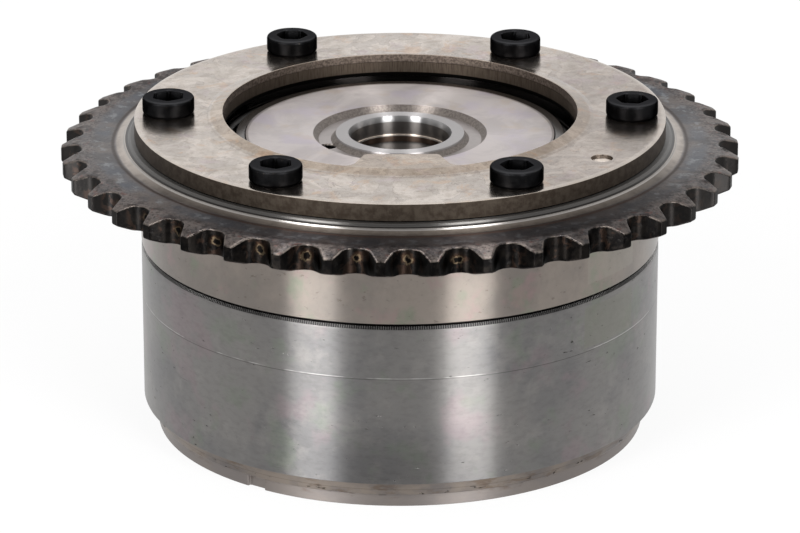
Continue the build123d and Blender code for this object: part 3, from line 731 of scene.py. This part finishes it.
# Chain wheel: one pitch of it is drawn, from tooth middle to tooth middle
def pitch_outline():
    """Half of one pitch's outline, from seat middle to tip middle, as places and outward directions."""
    half_pitch = math.pi / tooth_count
    places = []
    for step in range(9):
        turn = math.radians(seat_half_angle) * step / 8
        places.append((root_radius + seat_radius * (1 - math.cos(turn)), seat_radius * math.sin(turn)))
    tip_half = tip_width / 2 / tip_radius
    corner = (tip_radius * math.cos(half_pitch - tip_half), tip_radius * math.sin(half_pitch - tip_half))
    foot = places[-1]
    for share in (0.35, 0.7, 0.93):
        places.append(tuple(a + (b - a) * share for a, b in zip(foot, corner)))
    for share in (0.15, 0.6, 1.0):
        turn = half_pitch - tip_half * (1 - share)
        places.append((tip_radius * math.cos(turn), tip_radius * math.sin(turn)))
    outward = []
    for index in range(len(places)):
        before = places[max(index - 1, 0)]
        after = places[min(index + 1, len(places) - 1)]
        run = Vector((after[0] - before[0], after[1] - before[1])).normalized()
        outward.append((run.y, -run.x))
    outward[0] = (1.0, 0.0)
    outward[-1] = (math.cos(half_pitch), math.sin(half_pitch))
    return places, outward


def wheel_section():
    """Turned section as (radius, height) points, from the web's root round the inside to the underside."""
    root_drop = boss_step - wheel_top
    web_root = []
    for step in range(9):
        turn = math.radians(90 * step / 8)
        web_root.append((web_root_radius - web_root_reach * math.sin(turn),
                         boss_step - root_drop * math.cos(turn)))
    return web_root + [
        (44.92, boss_step + 0.015), (44.6, boss_step + 0.03), (44.42, boss_step + 0.06),
        (44.3, boss_step + 0.14), (44.24, boss_step + 0.24),
        (44.18, boss_top - 0.14), (44.1, boss_top - 0.05), (43.98, boss_top),
        (pocket_outer + broken_edge, boss_top), (pocket_outer, boss_top - broken_edge),
        (pocket_outer, pocket_floor), (pocket_inner, pocket_floor),
        (pocket_inner, ring_top - broken_edge), (pocket_inner - broken_edge, ring_top),
        (journal_bore + broken_edge, ring_top), (journal_bore, ring_top - broken_edge),
        (journal_bore, drum_top + broken_edge), (journal_bore + broken_edge, drum_top),
        (42.1, drum_top), (42.12, drum_top + 0.06), (42.36, drum_top + 0.28), (42.46, drum_top + 0.36),
        (42.5, drum_top + 0.46), (42.5, 36.0), (42.5, 40.0), (42.5, wheel_under - 0.7),
        (42.6, wheel_under - 0.32), (42.85, wheel_under - 0.08), (43.3, wheel_under),
    ]


def wheel_pitch():
    """One pitch of the wheel as an open slice: the merge joins it to its neighbours."""
    places, outward = pitch_outline()
    half_pitch = math.pi / tooth_count
    columns = []
    for side in (-1, 1):
        chosen = list(zip(places, outward))
        if side < 0:
            chosen = chosen[:0:-1]
        for (x, y), (nx, ny) in chosen:
            columns.append((x, side * y, nx, side * ny))

    def side_height(x, y, top):
        reach = x * math.cos(half_pitch) + abs(y) * math.sin(half_pitch)
        share = max(0.0, reach - tip_radius + bevel_reach) / bevel_reach
        soft = share * share / (share + 0.12)
        drop = bevel_drop * soft * 1.12
        return wheel_top - drop if top else wheel_under + drop

    rows = []
    for radius, height in wheel_section():
        row = []
        for x, y, _, _ in columns:
            turn = math.atan2(y, x)
            row.append((radius * math.cos(turn), radius * math.sin(turn), height))
        rows.append(row)

    def side_rows(top):
        made = []
        for share in (0.0, 0.25, 0.5, 0.75, 1.0):
            row = []
            for x, y, nx, ny in columns:
                turn = math.atan2(y, x)
                start = (flat_web_radius * math.cos(turn), flat_web_radius * math.sin(turn))
                end = (x - nx * tooth_edge, y - ny * tooth_edge)
                px = start[0] + (end[0] - start[0]) * share
                py = start[1] + (end[1] - start[1]) * share
                row.append((px, py, side_height(px, py, top)))
            made.append(row)
        for step in (1, 2, 3):
            turn = math.radians(30 * step)
            inset = tooth_edge * (1 - math.sin(turn))
            fall = tooth_edge * (1 - math.cos(turn))
            row = []
            for x, y, nx, ny in columns:
                px, py = x - nx * inset, y - ny * inset
                height = side_height(px, py, top)
                row.append((px, py, height - fall if top else height + fall))
            made.append(row)
        return made

    under = side_rows(False)
    over = side_rows(True)
    over.reverse()
    rows += under + over
    width = len(columns)
    points = [point for row in rows for point in row]
    faces = []
    for index in range(len(rows)):
        here, there = index * width, (index + 1) % len(rows) * width
        for column in range(width - 1):
            faces.append((here + column, here + column + 1, there + column + 1, there + column))
    return new_object("wheel_pitch", mesh_of("wheel_pitch", points, faces))


def bar(radius, x, y, bottom, top, sides=48):
    """Closed upright round bar."""
    points = []
    for height in (bottom, top):
        for step in range(sides):
            px, py = polar(radius, step * 360 / sides)
            points.append((x + px, y + py, height))
    faces = [tuple(range(sides)), tuple(range(sides, 2 * sides))]
    for step in range(sides):
        after = (step + 1) % sides
        faces.append((step, after, sides + after, sides + step))
    return points, faces


def block(inner, outer, start, end, bottom, top, steps=12):
    """Closed block between two radii, two angles and two heights."""
    points = []
    for height in (bottom, top):
        for step in range(steps + 1):
            angle = start + (end - start) * step / steps
            for radius in (inner, outer):
                points.append((*polar(radius, angle), height))
    layer = 2 * (steps + 1)
    loop = [2 * step for step in range(steps + 1)] + [2 * step + 1 for step in range(steps, -1, -1)]
    faces = [tuple(loop), tuple(layer + corner for corner in loop)]
    for corner, after in zip(loop, loop[1:] + loop[:1]):
        faces.append((corner, after, layer + after, layer + corner))
    return points, faces


def cutter(name, shapes):
    points, faces = [], []
    for shape_points, shape_faces in shapes:
        base = len(points)
        points += shape_points
        faces += [tuple(base + corner for corner in face) for face in shape_faces]
    return new_object(name, mesh_of(name, points, faces))


def make_wheel(ring, finish):
    """The whole chain wheel, with the spring's window and groove and the screw holes cut out."""
    pattern = wheel_pitch()
    host = new_object("wheel_host", bpy.data.meshes.new("wheel_host"))
    wheel = grown(host, ring, "wheel_blank", pattern=pattern, count=tooth_count,
                  first_angle=math.radians(tip_angle + 180 / tooth_count), merge_distance=2e-6, finish=finish)
    bpy.data.objects.remove(pattern)
    half_slot = wire / 2 + leg_gap
    window = math.degrees(half_slot / 25.2)
    groove = math.degrees(half_slot / 31.0)
    above = boss_top + 1
    shapes = [
        block(24.5, 27.2, inner_leg_angle - window, inner_leg_angle + spring_travel + window,
              coil_high - half_slot, above),
        block(30.0, coil_radius + outer_leg_reach + leg_gap, outer_leg_angle - groove,
              outer_leg_angle + groove, pocket_floor, above),
    ]
    for index in range(6):
        x, y = polar(screw_circle, screw_first_angle + 60 * index)
        shapes.append(bar(shank_radius + screw_gap, x, y, drum_top - 1, above))
    tool = cutter("wheel_cutter", shapes)
    cut = wheel.modifiers.new("holes", "BOOLEAN")
    cut.operation = "DIFFERENCE"
    cut.object = tool
    cut.solver = "EXACT"
    result = settled(wheel, "chain_wheel_turned")
    bpy.data.objects.remove(tool)
    return result


# Screws
def hexagon(apothem, degrees):
    """Distance from the middle of a hexagon to its side in a direction."""
    return apothem / math.cos(math.radians((degrees + 30) % 60 - 30))


def screw_pattern():
    """One screw on the axis: rounded head, chamfered hexagon socket, plain shank with a point."""
    top = plate_top + head_height
    outer = [(0.0, screw_point), (shank_radius - 0.5, screw_point), (shank_radius, screw_point + 0.5),
             (shank_radius, plate_top), (head_radius - 0.28, plate_top),
             (head_radius - 0.26, plate_top + 0.05),
             (head_radius - 0.06, plate_top + 0.32), (head_radius, plate_top + 0.5)]
    for step in range(5):
        turn = math.radians(90 * step / 4)
        outer.append((head_radius - head_edge * (1 - math.cos(turn)), top - head_edge * (1 - math.sin(turn))))
    apothem = socket_flats / 2
    rings = [("round", radius, height) for radius, height in outer]
    rings.append(("round", apothem * 1.155 + 0.14, top))
    rings.append(("hex", apothem + 0.12, top - 0.05))
    rings.append(("hex", apothem, top - 0.22))
    rings.append(("hex", apothem, top - socket_depth + 0.1))
    rings.append(("hex", apothem - 0.15, top - socket_depth))
    rings.append(("round", 0.0, top - socket_depth - 0.45))
    sides = 60
    points = []
    for shape, radius, height in rings:
        for step in range(sides):
            degrees = step * 360 / sides
            reach = hexagon(radius, degrees) if shape == "hex" else radius
            points.append((*polar(reach, degrees), height))
    faces = []
    for ring in range(len(rings) - 1):
        for step in range(sides):
            after = (step + 1) % sides
            low, high = ring * sides, (ring + 1) * sides
            faces.append((low + step, low + after, high + after, high + step))
    mesh = cleaned(mesh_of("screw_pattern", points, faces),
                   lambda work: bmesh.ops.dissolve_degenerate(work, edges=work.edges, dist=1e-7))
    return new_object("screw_pattern", mesh)


def make_screws(marks, finish):
    places = []
    for index in range(6):
        places.append((*polar(screw_circle * MM, screw_first_angle + 60 * index), 0.0))
    mesh = bpy.data.meshes.new("screw_marks")
    mesh.from_pydata(places, [], [])
    turns = mesh.attributes.new("turn", "FLOAT", "POINT")
    for item, degrees in zip(turns.data, screw_turns):
        item.value = math.radians(degrees)
    pattern = screw_pattern()
    screws = grown(new_object("screw_marks", mesh), marks, "cap_screws", 38, pattern=pattern, finish=finish)
    bpy.data.objects.remove(pattern)
    return screws


# Bias spring
def make_bias_spring(wires, finish):
    turns = 3 + (inner_leg_angle - outer_leg_angle) % 360 / 360
    steps = round(turns * 48)
    path = [(*polar(coil_radius + outer_leg_reach - 0.4, outer_leg_angle), coil_low)]
    for step in range(steps + 1):
        share = step / steps
        path.append((*polar(coil_radius, outer_leg_angle + share * turns * 360),
                     coil_low + share * (coil_high - coil_low)))
    path.append((*polar(coil_radius - inner_leg_reach + 0.1, inner_leg_angle), coil_high))
    curve = bpy.data.curves.new("spring_path", "CURVE")
    curve.dimensions = "3D"
    line = curve.splines.new("POLY")
    line.points.add(len(path) - 1)
    for point, place in zip(line.points, path):
        point.co = (*(value * MM for value in place), 1.0)
    return grown(new_object("spring_path", curve), wires, "bias_coil", 50,
                 radius=(wire / 2 - 0.02) * MM, bend=1.2 * MM, sides=20, finish=finish)


# Serrated rim
def make_rim(ring, finish):
    """Fine ribs that lie on the drum's top chamfer, one closed wedge repeated."""
    half = 2 * math.pi * drum_radius / rib_count * rib_share
    slope = Vector((-rim_inset, rim_drop)).normalized()
    out = Vector((slope.y, -slope.x))
    points = []
    for share in (0.36, 0.86):
        foot = Vector((drum_radius - rim_inset * share, drum_top - rim_drop * (1 - share)))
        base = foot - out * 0.05
        crest = foot + out * 0.07
        points += [(base.x, -half, base.y), (base.x, half, base.y), (crest.x, half * 0.45, crest.y),
                   (crest.x, -half * 0.45, crest.y)]
    faces = [(0, 1, 2, 3), (4, 5, 6, 7), (0, 1, 5, 4), (1, 2, 6, 5), (2, 3, 7, 6), (3, 0, 4, 7)]
    pattern = new_object("rib_pattern", mesh_of("rib_pattern", points, faces))
    host = new_object("rim_host", bpy.data.meshes.new("rim_host"))
    rim = grown(host, ring, "serrated_rim", pattern=pattern, count=rib_count, first_angle=0.0,
                merge_distance=0.0, finish=finish)
    bpy.data.objects.remove(pattern)
    return rim


# Studio
def mirrored(path):
    """1 for a ray that comes from a shiny or clear surface."""
    return path.math("MAXIMUM", path.out("Is Glossy Ray"), path.out("Is Transmission Ray"))


def make_floor():
    f = Finish("pale_floor")
    path = f.add("ShaderNodeLightPath")
    seen = path.math("MAXIMUM", path.out("Is Camera Ray"), mirrored(path))
    soft = f.noise(400, 2, 0.5)
    colour = f.mix(soft, tone(232, 232, 232), tone(240, 240, 240))
    matt = f.add("ShaderNodeBsdfDiffuse", None, {"Color": colour})
    glow = f.add("ShaderNodeEmission", None, {"Color": (1.0, 1.0, 1.0), "Strength": 1.0})
    surface = f.add("ShaderNodeMixShader", None, {"Fac": seen * 0.88, 1: matt, 2: glow})
    f.add("ShaderNodeOutputMaterial", None, {"Surface": surface})
    reach = 3000
    points = [(-reach, -reach, 0), (reach, -reach, 0), (reach, reach, 0), (-reach, reach, 0)]
    floor = new_object("floor", mesh_of("floor", points, [(0, 1, 2, 3)]))
    painted(floor, f.material)


def make_world():
    world = bpy.data.worlds.new("studio")
    world.use_nodes = True
    world.node_tree.nodes.clear()
    nodes = Nodes(world.node_tree)
    path = nodes.add("ShaderNodeLightPath")
    shiny = mirrored(path)
    seen = path.out("Is Camera Ray")
    way = nodes.add("ShaderNodeTexCoord", output="Generated")
    split = nodes.add("ShaderNodeSeparateXYZ", None, {0: way})
    front = nodes.add("ShaderNodeMapRange", {"interpolation_type": "SMOOTHSTEP"},
                      {"Value": split.out("Y"), "From Min": -0.9, "From Max": 0.3})
    room = 0.45 + 0.55 * front
    strength = seen + (1 - seen) * (shiny * room + (1 - shiny) * 0.75)
    sky = nodes.add("ShaderNodeBackground", None, {"Color": (1.0, 1.0, 1.0), "Strength": strength})
    nodes.add("ShaderNodeOutputWorld", None, {"Surface": sky})
    bpy.context.scene.world = world


def soft_box(name, place, target, width, height, radiance):
    """Rectangular lamp, with its power worked out from how bright its face is."""
    lamp = bpy.data.lights.new(name, "AREA")
    lamp.shape = "RECTANGLE"
    lamp.size = width
    lamp.size_y = height
    lamp.energy = radiance * math.pi * width * height
    box = bpy.data.objects.new(name, lamp)
    bpy.context.scene.collection.objects.link(box)
    box.location = place
    box.rotation_euler = (Vector(target) - Vector(place)).to_track_quat("-Z", "Y").to_euler()
    box.visible_camera = False


def make_lights():
    for name, degrees, width in (("left_strip", -37.0, 0.35), ("right_strip", 29.7, 0.34)):
        turn = math.radians(degrees)
        place = (math.sin(turn), -math.cos(turn), strip_middle)
        soft_box(name, place, (0.0, 0.0, strip_middle), width, strip_height, strip_radiance)
    soft_box("top_box", (0.0, 0.25, 1.3), (0.0, 0.0, 0.03), 1.0, 1.0, top_radiance)


def make_camera():
    camera = bpy.data.cameras.new("camera")
    camera.sensor_width = 36.0
    camera.lens = camera_lens
    camera.clip_start = 0.01
    viewer = bpy.data.objects.new("camera", camera)
    bpy.context.scene.collection.objects.link(viewer)
    lift = math.radians(camera_lift)
    target = Vector((0.0, 0.0, camera_target))
    viewer.location = target + camera_distance * Vector((0.0, -math.cos(lift), math.sin(lift)))
    viewer.rotation_euler = (target - viewer.location).to_track_quat("-Z", "Y").to_euler()
    bpy.context.scene.camera = viewer


def main():
    drum = drum_finish()
    wheel = wheel_finish()
    plate = plate_finish()
    rotor = rotor_finish()
    cover = cover_finish()
    screw = screw_finish()
    spring = plain_finish("oiled_spring", tone(20, 19, 19), tone(34, 32, 30), 0.24, 2.0)
    hardened = plain_finish("hardened_pin", tone(150, 148, 144), tone(176, 173, 168), 0.24, 3.0, depth=0.004)
    seal = plain_finish("seal_strip", tone(34, 32, 30), tone(48, 45, 42), 0.5, 1.5, metallic=0.0)
    ribs = plain_finish("rolled_ribs", tone(74, 73, 72), tone(88, 87, 86), 0.34, 2.0, depth=0.002)
    leaf = plain_finish("leaf_spring", tone(96, 94, 92), tone(126, 122, 118), 0.3, 2.0)

    ring = ring_tree()
    mount(flat_faced(dressed("end_cover", 0.18)), "end_cover", "housing", cover)
    mount(flat_faced(dressed("housing", 0.12)), "housing", "housing", drum)
    mount(flat_faced(make_wheel(ring, wheel)), "chain_wheel", "housing", wheel)
    mount(flat_faced(dressed("retaining_plate", 0.16, 14.6)), "retaining_plate", "housing",
          plate)
    mount(flat_faced(make_screws(marks_tree(), screw)), "plate_screws", "housing", screw)
    mount(flat_faced(dressed("rotor", 0.12)), "rotor", "rotor", rotor)
    coil = make_bias_spring(wire_tree(), spring)
    painted(coil, spring)
    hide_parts("bias_spring")
    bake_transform(coil)
    rim = make_rim(ring, ribs)
    painted(rim, ribs)
    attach(rim, "housing")

    for name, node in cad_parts.items():
        if name == "lock_pin":
            painted(node, hardened)
        elif name.startswith(("vane_seal_spring", "web_seal_spring", "lock_pin_spring")):
            painted(node, leaf)
        elif name.startswith(("vane_seal", "web_seal")):
            painted(node, seal)

    make_floor()
    make_world()
    make_lights()
    make_camera()
    bpy.context.scene.view_settings.view_transform = "Standard"


main()
